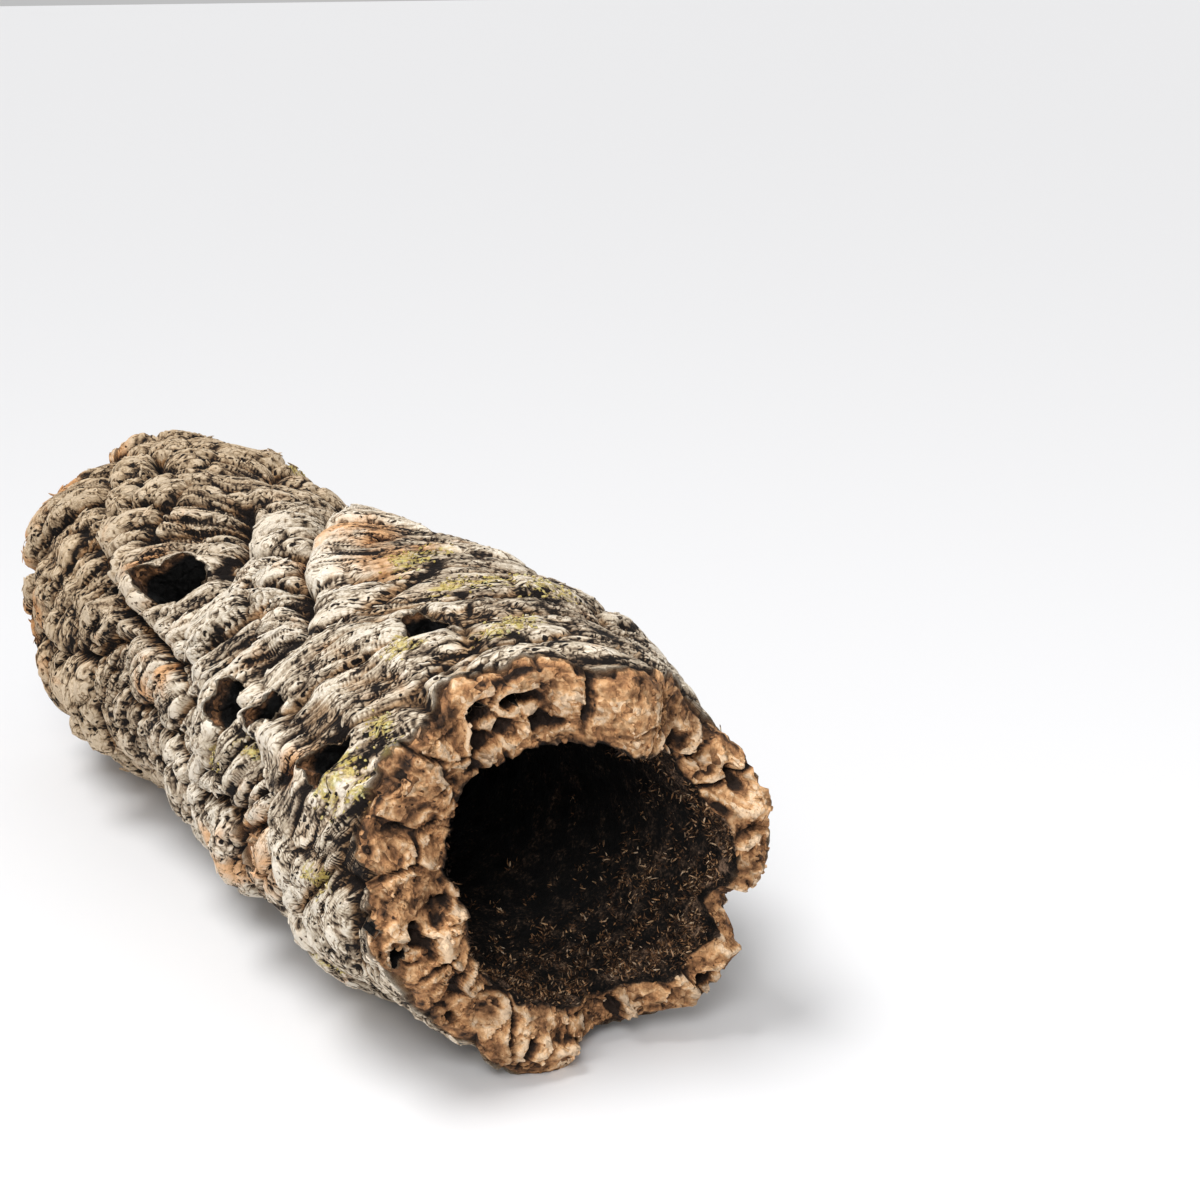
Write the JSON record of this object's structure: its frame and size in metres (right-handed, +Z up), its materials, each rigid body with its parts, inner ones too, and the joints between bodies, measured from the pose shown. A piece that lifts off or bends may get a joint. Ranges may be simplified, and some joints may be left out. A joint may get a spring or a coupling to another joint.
{
  "type": "cork bark tube",
  "caption": "Natural tube of cork oak bark lying on its side: thick rolled and folded bark, knot holes, a broken rim at each end and an open bore from end to end.",
  "frame": {"origin": "centre of the tube's bounding box, on the surface that it lies on", "axes": "+X along the tube towards its wide broken mouth, +Z up as it lies, the side that the picture shows towards -Y"},
  "size_m": [0.3617, 0.1478, 0.1423],
  "materials": {
    "cork_bark": "rough, weathered grey-brown bark with orange-brown broken cork at the rims and a dark brown lining"
  },
  "bodies": {
    "root": {"cork_bark_tube": "cork_bark"}
  },
  "joints": []
}
